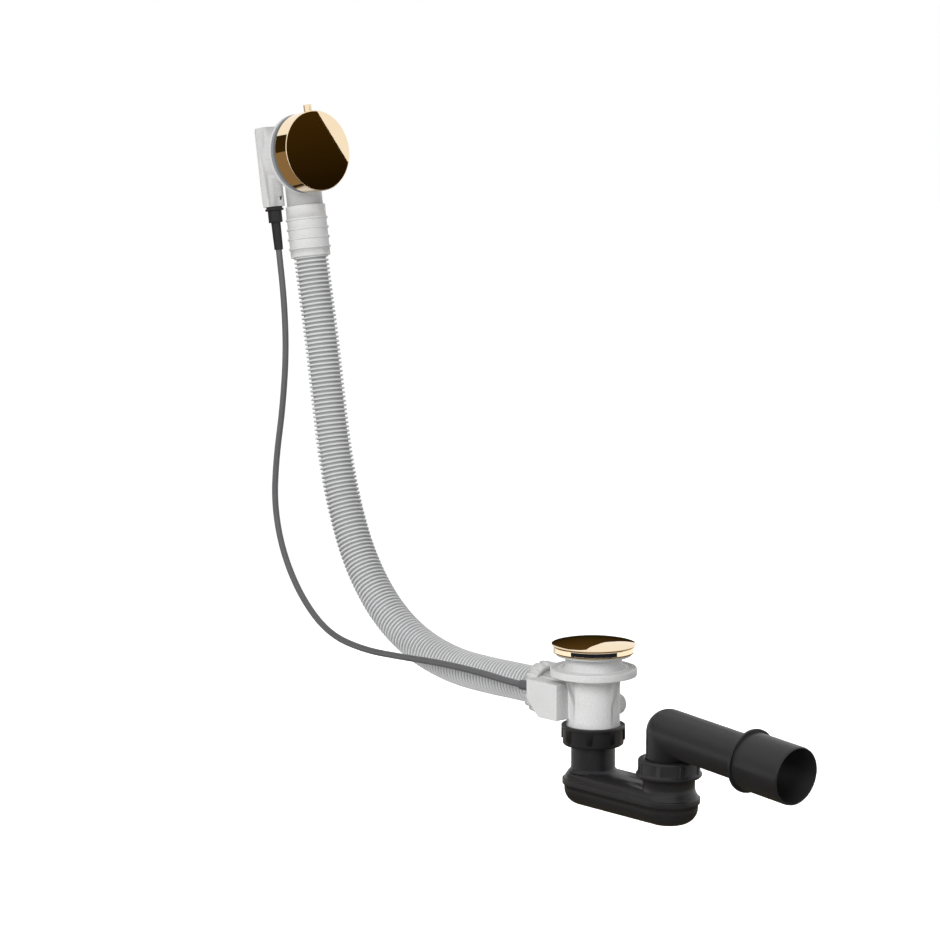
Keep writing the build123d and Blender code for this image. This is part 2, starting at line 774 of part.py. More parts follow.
outlet_axis = Pos(trap_length, 0, elbow_axis_z) * Rot(0, 90 + pipe_fall, 0)


def elbow_pipe():
    """Black elbow and pipe in one moulding, with a round back and a mitred inner corner."""
    bore_r = elbow_r - pipe_wall
    upright = rod(elbow_r, elbow_foot, elbow_axis_z)
    upright_bore = rod(bore_r, elbow_foot - 1, elbow_axis_z)
    outer = Pos(trap_length, 0, 0) * upright + outlet_axis * rod(elbow_r, 0, pipe_length)
    outer += Pos(trap_length, 0, elbow_axis_z) * Sphere(elbow_r)
    inner = Pos(trap_length, 0, 0) * upright_bore + outlet_axis * rod(bore_r, 0, pipe_length + 1)
    inner += Pos(trap_length, 0, elbow_axis_z) * Sphere(bore_r)
    return outer - inner


def outlet_sleeve():
    """Black sleeve that brings the pipe's end up to the next pipe size."""
    bore_r = sleeve_r - pipe_wall
    web = sleeve_start + sleeve_collar_thick
    sleeve = turned([
        (elbow_r + push_gap, sleeve_start), (sleeve_collar_r, sleeve_start), (sleeve_collar_r, web),
        (sleeve_r, web), (sleeve_r, sleeve_end - 2.5), (sleeve_r - 0.5, sleeve_end), (bore_r + 0.5, sleeve_end),
        (bore_r, sleeve_end - 0.8), (bore_r, web), (elbow_r + push_gap, web),
    ], [0, 0.6, 0.6, 0.4, 0.5, 0.3, 0.2, 0, 0, 0])
    return outlet_axis * sleeve


def sleeve_seal():
    """Rubber ring between the pipe and the sleeve."""
    low = sleeve_start + sleeve_collar_thick
    bore_r = sleeve_r - pipe_wall
    return outlet_axis * tube(bore_r - push_gap, elbow_r + push_gap, low, pipe_length - sleeve_seal_back)


def knob():
    """Gold knob: a shallow cup with a hub inside for the spindle."""
    back = knob_stand_off
    front = back + knob_depth
    inner_r = knob_r - knob_wall
    cup = turned([
        (0, front), (knob_r, front), (knob_r, back), (inner_r, back), (inner_r, front - knob_wall),
        (0, front - knob_wall),
    ], [0, knob_edge, 0.4, 0.4, 1.5, 0])
    hub = rod(knob_hub_r, front - knob_wall - knob_hub_length, front - knob_wall)
    bore = rod(spindle_r + push_gap, 0, front - knob_wall)
    pin_axis = front - knob_pin_back
    seat = Pos(0, knob_r, pin_axis) * Rot(90, 0, 0) * Cylinder(knob_pin_r - 1.0, 6)
    return head * (cup + hub - bore - seat)


def knob_pin():
    """Gold pin that stands out of the knob's rim."""
    pin = turned([
        (0, -knob_wall), (knob_pin_r - 1.0 - push_gap, -knob_wall), (knob_pin_r - 1.0 - push_gap, 0.15),
        (knob_pin_r, 0.15), (knob_pin_r, knob_pin_out), (0, knob_pin_out),
    ], [0, 0, 0, 0, 0.6, 0])
    pin_axis = knob_stand_off + knob_depth - knob_pin_back
    return head * (Pos(0, knob_r, pin_axis) * Rot(-90, 0, 0) * pin)


def spindle():
    """Spindle from the knob through the overflow to the pinion."""
    front = knob_stand_off + knob_depth - knob_wall - 0.2
    return head * rod(spindle_r, -gear_back - gear_width / 2 - 0.5, front)


def involute(angle):
    """The involute function of a pressure angle, in radians."""
    return tan(angle) - angle


def pinion_outline():
    """The pinion's teeth, with involute flanks that run straight in to the root below the base circle."""
    root = pinion_r - 1.25 * gear_module
    base = pinion_r * cos(radians(gear_flank))
    tip = pinion_r + 0.95 * gear_module
    half = pi / 2 / pinion_teeth - gear_backlash / 2 / pinion_r
    flank = [(root, half + involute(radians(gear_flank)))]
    for i in range(4):
        radius = base + (tip - base) * i / 3
        flank.append((radius, half + involute(radians(gear_flank)) - involute(acos(base / radius))))
    points = []
    for i in range(pinion_teeth):
        middle = 2 * pi / pinion_teeth * (i + 0.5)
        for radius, offset in flank:
            points.append((radius * cos(middle - offset), radius * sin(middle - offset)))
        for radius, offset in reversed(flank):
            points.append((radius * cos(middle + offset), radius * sin(middle + offset)))
    return Polyline(*points, close=True)


def pinion():
    """Small gear on the spindle's inner end."""
    gear = extrude(make_face(pinion_outline()), gear_width / 2, both=True)
    gear -= Cylinder(spindle_r + push_gap, gear_width + 1)
    return head * (Pos(0, 0, -gear_back) * gear)


def rack():
    """Rack that the pinion raises, with a socket for the cable's wire in its lower end."""
    pitch = pi * gear_module
    half = pitch / 4 - gear_backlash / 2
    slope = tan(radians(gear_flank))
    tip_x = -pinion_r + rack_addendum
    root_x = -pinion_r - 1.25 * gear_module
    tip_half = half - slope * rack_addendum
    root_half = half + slope * 1.25 * gear_module
    low = -pitch * (rack_teeth - 2.5)
    points = [(root_x - rack_back, low), (root_x, low)]
    for i in range(rack_teeth):
        middle = low + pitch * (i + 0.5)
        points += [(root_x, middle - root_half), (tip_x, middle - tip_half), (tip_x, middle + tip_half),
                   (root_x, middle + root_half)]
    high = low + pitch * rack_teeth
    points += [(root_x, high), (root_x - rack_back, high)]
    bar = extrude(make_face(Polyline(*points, close=True)), gear_width / 2, both=True)
    socket = Pos(mech_side, low, 0) * Rot(90, 0, 0) * Cylinder(wire_r + push_gap, 8)
    return head * (Pos(0, 0, -gear_back) * (bar - socket)), low


def upper_wire(rack_low):
    """The cable's steel wire, from the rack down into the gland."""
    low = gland_end_v + 3.0
    wire = Cylinder(wire_r, rack_low + 3.9 - low, align=(Align.CENTER, Align.CENTER, Align.MIN))
    return head * (Pos(mech_side, low, -gear_back) * Rot(-90, 0, 0) * wire)


def mech_outline(shrink=0.0):
    """The rack housing's plan in side and depth."""
    width = mech_width - 2 * shrink
    return RectangleRounded(width, width, max(mech_round - shrink, 0.8))


def upright_block(shape, low, high):
    """Extrude a plan drawn in side and depth along the head's upright, between two heights."""
    solid = extrude(shape, high - low)
    return Pos(mech_side, low, -gear_back) * Rot(-90, 0, 0) * solid


def gear_case_plan(shrink, bottom, top):
    """Outline, seen from the back, of the rack's channel and the pinion's round pocket."""
    half = mech_width / 2 - shrink
    channel = Pos(mech_side, (top + bottom) / 2) * Rectangle(2 * half, top - bottom)
    pocket = Circle(pinion_r + gear_module + 0.5 + (gear_wall * 1.5 - shrink))
    return channel + pocket


def overflow_body():
    """White moulding behind the bath: flange, round chamber, hose neck, gear case and rack housing."""
    flange_front = -bath_wall_to_flange
    flange_back = flange_front - overflow_flange_thick
    chamber_back = flange_back - chamber_depth
    outer = turned([
        (0, chamber_back), (chamber_r, chamber_back), (chamber_r, flange_back),
        (overflow_flange_r, flange_back), (overflow_flange_r, flange_front), (0, flange_front),
    ], [0, chamber_edge, 1.0, 1.4, 0.6, 0])

    neck_length = overflow_neck_top - cuff_top
    neck = Cylinder(overflow_neck_r, neck_length, align=(Align.CENTER, Align.CENTER, Align.MIN))
    neck = fillet(neck.faces().sort_by(Axis.Z)[-1].edges(), 5.0)
    spigot = Cylinder(spigot_r, cuff_socket, align=(Align.CENTER, Align.CENTER, Align.MAX))
    at_neck = Pos(overflow_neck_side, cuff_top, -overflow_neck_back) * Rot(-90, 0, 0)
    outer += at_neck * (neck + spigot)

    case_back = -gear_back - mech_width / 2 + cover_thick
    case = extrude(Pos(0, 0, case_back) * Circle(pinion_r + gear_module + 0.5 + gear_wall),
                   chamber_back - case_back + 1)
    outer += case
    outer += upright_block(mech_outline(), mech_bottom, mech_top)

    # Hollow inside
    room = turned([
        (0, chamber_back + chamber_wall), (chamber_r - chamber_wall, chamber_back + chamber_wall),
        (chamber_r - chamber_wall, flange_front + 1), (0, flange_front + 1),
    ], [0, chamber_edge - 1.0, 0, 0])
    body = outer - room
    neck_bore = Cylinder(spigot_r - chamber_wall, neck_length - 3 + cuff_socket + 1,
                         align=(Align.CENTER, Align.CENTER, Align.MIN))
    body -= Pos(overflow_neck_side, cuff_top - cuff_socket - 1, -overflow_neck_back) * Rot(-90, 0, 0) * neck_bore

    # Spindle bearing in the back wall, and the bosses for the clamp screws
    body += rod(spindle_r + 3.5, chamber_back + 0.5, chamber_back + 8.0)
    boss_back = -plate_screw_length - 3.0
    for side in (-1, 1):
        boss = Pos(side * plate_screw_spread, 0, 0) * rod(screw_boss_r, boss_back, flange_front - 0.8)
        body += boss & rod(chamber_r - 0.5, boss_back, 0)
        body -= Pos(side * plate_screw_spread, 0, 0) * rod(plate_screw_r, -plate_screw_length - 1.0, 0)
    body -= rod(spindle_r + run_gap, case_back, 0)

    # Room for the gears, and the mouth for the gland
    pocket = rod(pinion_r + gear_module + 0.5, -gear_back - gear_width / 2 - 0.6, -gear_back + gear_width / 2 + 0.6)
    pocket += rod(pinion_r + gear_module + 0.5, case_back - 1, -gear_back)
    near = -pinion_r - 1.25 * gear_module - rack_back - push_gap
    far = -pinion_r + gear_module + 1.0
    channel = Pos((near + far) / 2, (mech_bottom + mech_top) / 2 - 1.0, -gear_back) \
        * Box(far - near, mech_top - mech_bottom - 2.0, gear_width + 1.2)
    body = body - pocket - channel
    case_mouth = extrude(Pos(0, 0, case_back - 3) * cover_plan(-push_gap), 3)
    body -= case_mouth
    window = Pos(mech_side + mech_window_side, mech_window_v, -gear_back + mech_width / 2)
    body -= window * Box(mech_window, mech_window, mech_width - gear_width)
    return head * body


def cover_plan(shrink):
    """Outline of the cover over the gear pocket, seen from the front."""
    radius = pinion_r + gear_module + 0.5 + gear_wall - shrink
    low = mech_bottom + 3.0 + shrink
    high = mech_top - 3.0 - shrink
    width = mech_width - 2 * mech_round + 5.0 - 2 * shrink
    return Circle(radius) + Pos(mech_side, (low + high) / 2) * Rectangle(width, high - low)


def gear_cover():
    """Flat cover that closes the gear pocket and the rack's channel from behind."""
    back = -gear_back - mech_width / 2
    plate = extrude(Pos(0, 0, back) * cover_plan(0.0), cover_thick)
    return head * plate


def spindle_seal():
    """O-ring round the spindle, on the water side of its bearing."""
    middle = spindle_r + run_gap + 0.05 + oring_section / 2
    seat = -bath_wall_to_flange - overflow_flange_thick - chamber_depth + 8.0 + oring_section / 2
    return head * (Pos(0, 0, seat) * Torus(middle, oring_section / 2))


def overflow_seal():
    """Grey foam ring between the overflow's flange and the back of the bath."""
    outer = overflow_flange_r - overflow_seal_inset
    back = -bath_wall_to_flange
    return head * tube(outer, overflow_hole_r, back, back + overflow_seal_thick)


def clamp_plate():
    """Plate inside the knob that clamps the bath's wall, with slots for the water."""
    plate = turned([
        (spindle_r + run_gap, 0), (plate_r, 0), (plate_r, plate_thick), (spindle_r + 3, plate_thick),
        (spindle_r + 2.5, plate_thick + 2.5), (spindle_r + run_gap, plate_thick + 2.5),
    ], [0, 0, 0.8, 0, 0, 0])
    low_r = plate_slot_mid_r - plate_slot_width / 2
    high_r = plate_slot_mid_r + plate_slot_width / 2
    for opening in ring_pads(low_r, high_r, -1, plate_thick + 1, plate_slots, plate_slot_angle, 30):
        plate -= opening
    for side in (-1, 1):
        plate -= Pos(side * plate_screw_spread, 0, 0) * rod(plate_screw_r + push_gap, -1, plate_thick + 1)
    return head * plate


def plate_screws():
    """Two screws that pull the clamp plate and the overflow body together."""
    screws = []
    for side in (-1, 1):
        screw = turned([
            (0, -plate_screw_length), (plate_screw_r - push_gap, -plate_screw_length),
            (plate_screw_r - push_gap, plate_thick), (plate_screw_head_r, plate_thick),
            (plate_screw_head_r, plate_thick + plate_screw_head_height), (0, plate_thick + plate_screw_head_height),
        ], [0, 0.6, 0, 0, 0.8, 0])
        slot = Pos(0, 0, plate_thick + plate_screw_head_height) * Box(10, 1.2, 1.6)
        screws.append(head * (Pos(side * plate_screw_spread, 0, 0) * (screw - slot)))
    return Compound(children=screws)


def hose_cuff():
    """White ribbed cuff that joins the overflow's neck to the hose."""
    low = -cuff_length
    points = [(spigot_r + push_gap, 0), (spigot_r + push_gap, -cuff_socket),
              (hose_r + push_gap * 2, -cuff_socket), (hose_r + push_gap * 2, low), (cuff_r, low), (cuff_r, 0)]
    cuff = turned(points, [0.3, 0, 0, 0.3, 0.4, 0.4])
    for i in range(cuff_rings):
        middle = -cuff_ring_first - cuff_ring_pitch * i
        half = cuff_ring_thick / 2
        cuff += turned([(cuff_r - 0.5, middle - half), (cuff_ring_r, middle - half), (cuff_ring_r, middle + half),
                        (cuff_r - 0.5, middle + half)], [0, 0.5, 0.5, 0])
    return head * (Pos(overflow_neck_side, cuff_top, -overflow_neck_back) * Rot(-90, 0, 0) * cuff)


def cable_gland():
    """Black gland that plugs into the rack housing, with a thin ring round it."""
    ring_low = -gland_collar_height - gland_ring_thick
    gland = turned([
        (wire_r + 0.4, 0), (gland_collar_r, 0), (gland_collar_r, -gland_collar_height),
        (gland_ring_r, -gland_collar_height), (gland_ring_r, ring_low), (gland_r, ring_low),
        (gland_r, -gland_height), (wire_r + 0.4, -gland_height),
    ], [0, 0.3, 0.2, 0.5, 0.5, 0.2, 0.5, 0])
    gland = gland + rod(3.0, -0.5, 4.0) - rod(wire_r + 0.4, -gland_height - 1, 5)
    return head * (Pos(mech_side, mech_bottom, -gear_back) * Rot(-90, 0, 0) * gland)


def gland_relief():
    """Tapered sleeve under the gland that keeps the cable from kinking."""
    sleeve = turned([
        (cable_r + push_gap, 0), (relief_r, 0), (relief_tip_r, -relief_length),
        (cable_r + push_gap, -relief_length),
    ], [0, 0, 0.4, 0])
    return head * (Pos(mech_side, gland_end_v, -gear_back) * Rot(-90, 0, 0) * sleeve)


hose, hose_path, hose_radii = swept(hose_route, hose_r, hose_bore_r)
cable, cable_path, cable_radii = swept(cable_route, cable_r)
rack_solid, rack_low_v = rack()

pieces = {
    "plug_cap": plug_cap(),
    "plug_body": plug_body(),
    "plug_seal": plug_seal(),
    "seal_nut": seal_nut(),
    "plug_stem": plug_stem(),
    "waste_ring": waste_ring(),
    "ring_gasket": ring_gasket(),
    "guide_screw": guide_screw(),
    "waste_body": waste_body(),
    "shaft_seal": shaft_seal(),
    "lift_shaft": lift_shaft(),
    "lift_finger": lift_finger(),
    "lift_crank": lift_crank(),
    "lower_wire": lower_wire(),
    "lever_box": lever_box(),
    "box_relief": box_relief(),
    "port_nut": port_nut(),
    "port_seal": port_seal(),
    "body_nut": body_nut(),
    "body_nut_seal": body_nut_seal(),
    "trap_upper": trap_upper(),
    "trap_lower": trap_lower(),
    "outlet_nut": outlet_nut(),
    "outlet_seal": outlet_seal(),
    "elbow_pipe": elbow_pipe(),
    "outlet_sleeve": outlet_sleeve(),
    "sleeve_seal": sleeve_seal(),
    "knob": knob(),
    "knob_pin": knob_pin(),
    "spindle": spindle(),
    "pinion": pinion(),
    "rack": rack_solid,
    "upper_wire": upper_wire(rack_low_v),
    "overflow_body": overflow_body(),
    "gear_cover": gear_cover(),
    "spindle_seal": spindle_seal(),
    "overflow_seal": overflow_seal(),
    "clamp_plate": clamp_plate(),
    "plate_screws": plate_screws(),
    "hose_cuff": hose_cuff(),
    "overflow_hose": hose,
    "cable_gland": cable_gland(),
    "gland_relief": gland_relief(),
    "cable": cable,
}

os.makedirs("parts", exist_ok=True)
for name, piece in pieces.items():
    export_step(piece, f"parts/{name}.step")

print("hose length", round(hose_path.length, 1), "radii", [round(r) for r in hose_radii])
print("hose volume", round(hose.volume), "of", round(pi * (hose_r**2 - hose_bore_r**2) * hose_path.length))
print("cable length", round(cable_path.length, 1), "radii", [round(r) for r in cable_radii])
print("cable volume", round(cable.volume), "of", round(pi * cable_r**2 * cable_path.length))
print("swing", round(swing, 2), "lift", round(lift, 3), "rack travel", round(rack_travel, 3),
      "wire pull", round(wire_pull, 3))
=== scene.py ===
from math import cos, pi, radians, sin

import bmesh
import bpy
from mathutils import Matrix, Vector


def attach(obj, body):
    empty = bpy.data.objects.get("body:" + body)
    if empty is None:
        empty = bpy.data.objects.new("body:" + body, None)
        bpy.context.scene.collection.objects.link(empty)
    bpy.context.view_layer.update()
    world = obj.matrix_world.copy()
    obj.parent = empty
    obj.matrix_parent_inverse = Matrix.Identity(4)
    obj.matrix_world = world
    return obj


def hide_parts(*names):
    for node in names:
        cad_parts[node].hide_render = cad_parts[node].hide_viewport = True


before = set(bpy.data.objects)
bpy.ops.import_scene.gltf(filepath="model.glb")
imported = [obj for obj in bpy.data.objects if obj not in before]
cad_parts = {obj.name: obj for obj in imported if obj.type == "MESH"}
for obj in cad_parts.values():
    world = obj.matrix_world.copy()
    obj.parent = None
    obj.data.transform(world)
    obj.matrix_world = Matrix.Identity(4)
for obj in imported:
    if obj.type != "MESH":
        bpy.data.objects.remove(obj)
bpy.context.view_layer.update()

# Camera
# A long lens at bath height, in front and to the right of the waste, a little above it.
# Its place comes from the round parts of the object, which fix the view's angle and distance.
camera_data = bpy.data.cameras.new("studio camera")
camera_data.sensor_width = 36.0
camera_data.lens = 127.42
camera_data.clip_start = 0.05
camera_data.clip_end = 60.0
camera = bpy.data.objects.new("studio camera", camera_data)
bpy.context.scene.collection.objects.link(camera)
camera.location = (2.0701, -1.9671, 0.5907)
turn, lift = radians(48.63), radians(8.306)
towards = Vector((-sin(turn) * cos(lift), cos(turn) * cos(lift), -sin(lift)))
camera.rotation_mode = "QUATERNION"
camera.rotation_quaternion = towards.to_track_quat("-Z", "Y")
bpy.context.scene.camera = camera

# Overflow hose
# A white polyethylene hose with rolled-in corrugations, 33.4 mm outside, blown in one length.
# It is pushed into the ribbed cuff at the top and held on the body's port by the union nut.
mm = 0.001
hose_route = [
    (-0.41323, 0.014, 0.35806), (-0.40795, 0.014, 0.32650), (-0.395, 0.0136, 0.268), (-0.382, 0.0122, 0.202),
    (-0.370, 0.0106, 0.146), (-0.353, 0.0088, 0.096), (-0.327, 0.0066, 0.048), (-0.289, 0.0044, 0.009),
    (-0.242, 0.0024, -0.016), (-0.188, 0.0009, -0.0279), (-0.136, 0.0002, -0.0289), (-0.098, 0, -0.028),
    (-0.066, 0, -0.028),
]
hose_radius = 16.7 * mm
hose_pitch = 4.1 * mm
groove_depth = 2.6
hose_ring = [(0.00, 0.7), (0.06, 0.2), (0.15, 0.0), (0.27, 0.0), (0.36, 0.2), (0.42, 0.7), (0.47, 2.2),
             (0.55, groove_depth), (0.85, groove_depth), (0.94, 2.2)]


def smooth_line(name, points):
    """One smooth spline through a cord's route, with the route's points as its control points."""
    line = bpy.data.curves.new(name, "CURVE")
    line.dimensions = "3D"
    line.resolution_u = 48
    spline = line.splines.new("NURBS")
    spline.points.add(len(points) - 1)
    for control, point in zip(spline.points, points):
        control.co = (*point, 1.0)
    spline.order_u = 3
    spline.use_endpoint_u = True
    held = bpy.data.objects.new(name, line)
    bpy.context.scene.collection.objects.link(held)
    return held


def read_line(held):
    """The points that Blender gives for a line's own spline."""
    shape = held.evaluated_get(bpy.context.evaluated_depsgraph_get())
    mesh = bpy.data.meshes.new_from_object(shape)
    points = [v.co.copy() for v in mesh.vertices]
    bpy.data.meshes.remove(mesh)
    return points


def finished(name, shape, sharp=35):
    """Make a bmesh into an object, smooth except where its faces meet at more than the sharp angle."""
    mesh = bpy.data.meshes.new(name)
    shape.to_mesh(mesh)
    shape.free()
    mesh.shade_smooth()
    mesh.set_sharp_from_angle(angle=radians(sharp))
    piece = bpy.data.objects.new(name, mesh)
    bpy.context.scene.collection.objects.link(piece)
    return piece


def spun(section, steps, closed=True):
    """A bmesh turned round Z from a section of (radius, height) points in millimetres."""
    shape = bmesh.new()
    corners = [shape.verts.new((r * mm, 0, z * mm)) for r, z in section]
    ends = corners[1:] + corners[:1] if closed else corners[1:]
    edges = [shape.edges.new((a, b)) for a, b in zip(corners, ends) if max(a.co.x, b.co.x) > 1e-9]
    bmesh.ops.spin(shape, geom=corners + edges, axis=(0, 0, 1), cent=(0, 0, 0), angle=2 * pi, steps=steps,
                   use_merge=True)
    bmesh.ops.remove_doubles(shape, verts=shape.verts, dist=1e-6)
    bmesh.ops.dissolve_degenerate(shape, edges=shape.edges, dist=1e-7)
    bmesh.ops.recalc_face_normals(shape, faces=shape.faces)
    return shape


def eased(shape, width, angle=30, segments=3):
    """Round a bmesh's sharp edges by a width in millimetres."""
    edges = [e for e in shape.edges if len(e.link_faces) == 2 and e.calc_face_angle() > radians(angle)]
    bmesh.ops.bevel(shape, geom=edges, offset=width * mm, offset_type="OFFSET", affect="EDGES",
                    segments=segments, profile=0.5, material=-1, clamp_overlap=True)
    return shape


def along(points, shape):
    """Bend a straight piece made on Z so that its height follows a line of points."""
    lengths = [0.0]
    for a, b in zip(points, points[1:]):
        lengths.append(lengths[-1] + (b - a).length)
    across = Vector((0, 1, 0))
    at = 0
    for v in sorted(shape.verts, key=lambda v: v.co.z):
        while at < len(points) - 2 and lengths[at + 1] < v.co.z:
            at += 1
        run = points[at + 1] - points[at]
        share = (v.co.z - lengths[at]) / run.length
        before = (points[at + 1] - points[max(at - 1, 0)]).normalized()
        after = (points[min(at + 2, len(points) - 1)] - points[at]).normalized()
        ahead = before.lerp(after, min(max(share, 0), 1)).normalized()
        side = (across - ahead * across.dot(ahead)).normalized()
        up = side.cross(ahead)
        v.co = points[at] + run * share + side * v.co.x + up * v.co.y
    bmesh.ops.recalc_face_normals(shape, faces=shape.faces)
    return lengths[-1]


def linear(code):
    """A colour written as sRGB hex, in the linear values that a shader takes."""
    parts = [int(code[i:i + 2], 16) / 255 for i in (1, 3, 5)]
    return [c / 12.92 if c <= 0.04045 else ((c + 0.055) / 1.055) ** 2.4 for c in parts] + [1.0]


def add(tree, kind, values=None, links=None, **settings):
    """Add a node with its settings, its socket values and the links into it."""
    made = tree.nodes.new(kind)
    for name, value in settings.items():
        setattr(made, name, value)
    for socket, value in (values or {}).items():
        made.inputs[socket].default_value = value
    for socket, source in (links or {}).items():
        tree.links.new(source, made.inputs[socket])
    return made


def blown_hose():
    """White polyethylene, blow-moulded: waxy, with faint flow lines, a fine skin and painted shade in the grooves."""
    made = bpy.data.materials.new("blow-moulded white polyethylene")
    made.use_nodes = True
    tree = made.node_tree
    shader = tree.nodes["Principled BSDF"]
    shader.inputs["IOR"].default_value = 1.51
    place = add(tree, "ShaderNodeTexCoord")
    # Wall thickness varies over a few centimetres, which shows as a slow change of tone
    drift = add(tree, "ShaderNodeTexNoise", {"Scale": 28.0, "Detail": 2.0}, {"Vector": place.outputs["Object"]})
    crest = add(tree, "ShaderNodeMix", {"A": linear("#E2E3E4"), "B": linear("#EEEEEE")},
                {"Factor": drift.outputs["Fac"]}, data_type="RGBA")
    # Painted shade: the grooves are coloured darker grey, more so the deeper each point lies, for the shade that falls
    # in them
    painted_groove_shade = add(tree, "ShaderNodeAttribute", attribute_name="painted_groove_shade")
    tone = add(tree, "ShaderNodeMix", {"B": linear("#A9AAAB")},
               {"Factor": painted_groove_shade.outputs["Fac"], "A": crest.outputs["Result"]}, data_type="RGBA")
    tree.links.new(tone.outputs["Result"], shader.inputs["Base Color"])
    # Grain of the extruded skin, about 0.4 mm
    grain = add(tree, "ShaderNodeTexNoise", {"Scale": 2400.0, "Detail": 3.0}, {"Vector": place.outputs["Object"]})
    sheen = add(tree, "ShaderNodeMapRange", {"To Min": 0.38, "To Max": 0.50}, {"Value": grain.outputs["Fac"]})
    tree.links.new(sheen.outputs["Result"], shader.inputs["Roughness"])
    relief = add(tree, "ShaderNodeBump", {"Strength": 0.10, "Distance": 0.0002}, {"Height": grain.outputs["Fac"]})
    tree.links.new(relief.outputs["Normal"], shader.inputs["Normal"])
    return made


hose_line = smooth_line("hose_line", hose_route)
hose_points = read_line(hose_line)
bpy.data.objects.remove(hose_line)
hose_length = sum((b - a).length for a, b in zip(hose_points, hose_points[1:]))
hose_pitches = int(hose_length / hose_pitch)
hose_pitch = hose_length / hose_pitches
hose_section = [(13.8, 0.0)]
for i in range(hose_pitches):
    for phase, inset in hose_ring:
        hose_section.append((hose_radius / mm - inset, (i + phase) * hose_pitch / mm))
hose_section.append((hose_radius / mm - 0.5, hose_length / mm))
hose_section += [(13.8, i * hose_pitch / mm) for i in range(hose_pitches, 0, -1)]
hose_shape = spun(hose_section, 40)
# Painted shade: each point's depth under the crest, as a share of the groove's depth, darkens the hose's colour
groove_shade_layer = hose_shape.verts.layers.float.new("painted_groove_shade")
for corner in hose_shape.verts:
    depth = hose_radius / mm - corner.co.xy.length / mm
    corner[groove_shade_layer] = min(max(depth / groove_depth, 0), 1)
along(hose_points, hose_shape)
hose = finished("corrugated_hose", hose_shape, sharp=60)
hose.data.materials.append(blown_hose())
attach(hose, "fittings")
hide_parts("overflow_hose")

# Pull cable
# A steel wire in a smooth grey sheath, 6 mm outside, extruded in PVC over a wound liner.
# It leaves the gland behind the overflow, hangs beside the hose and enters the side housing.
cable_route = [
    (-0.43081, -0.011, 0.36617), (-0.42570, -0.011, 0.33559), (-0.4175, -0.012, 0.291), (-0.4145, -0.0126, 0.243),
    (-0.4185, -0.0142, 0.190), (-0.4265, -0.0164, 0.140), (-0.4275, -0.0184, 0.095), (-0.412, -0.0204, 0.050),
    (-0.380, -0.0226, 0.010), (-0.337, -0.025, -0.017), (-0.284, -0.0266, -0.024), (-0.228, -0.028, -0.022),
    (-0.168, -0.0292, -0.0186), (-0.112, -0.0296, -0.019), (-0.079, -0.0295, -0.02115), (-0.0583, -0.0295, -0.02115),
]
cable_radius = 3.0 * mm


def extruded_sheath():
    """Grey PVC, extruded: smooth and slightly glossy, with die lines that run along it."""
    made = bpy.data.materials.new("extruded grey PVC sheath")
    made.use_nodes = True
    tree = made.node_tree
    shader = tree.nodes["Principled BSDF"]
    shader.inputs["IOR"].default_value = 1.53
    place = add(tree, "ShaderNodeTexCoord")
    drift = add(tree, "ShaderNodeTexNoise", {"Scale": 60.0, "Detail": 2.0}, {"Vector": place.outputs["Object"]})
    tone = add(tree, "ShaderNodeMix", {"A": linear("#5E5F61"), "B": linear("#68696B")},
               {"Factor": drift.outputs["Fac"]}, data_type="RGBA")
    tree.links.new(tone.outputs["Result"], shader.inputs["Base Color"])
    # Grain of the sheath, about 0.3 mm
    grain = add(tree, "ShaderNodeTexNoise", {"Scale": 3200.0, "Detail": 2.0}, {"Vector": place.outputs["Object"]})
    sheen = add(tree, "ShaderNodeMapRange", {"To Min": 0.40, "To Max": 0.52}, {"Value": grain.outputs["Fac"]})
    tree.links.new(sheen.outputs["Result"], shader.inputs["Roughness"])
    relief = add(tree, "ShaderNodeBump", {"Strength": 0.08, "Distance": 0.0002}, {"Height": grain.outputs["Fac"]})
    tree.links.new(relief.outputs["Normal"], shader.inputs["Normal"])
    return made


cable = smooth_line("pull_cable", cable_route)
cable_points = read_line(cable)
cable.data.bevel_depth = cable_radius
cable.data.bevel_resolution = 6
cable.data.resolution_u = 16
cable.data.use_fill_caps = True
cable.data.materials.append(extruded_sheath())
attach(cable, "fittings")
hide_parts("cable")

# White mouldings of the waste
# Body, side housing and hose nut, all injection moulded in white polypropylene.
# The body's fins and flange carry the bath's floor, and the housing clips on to the body's pad.


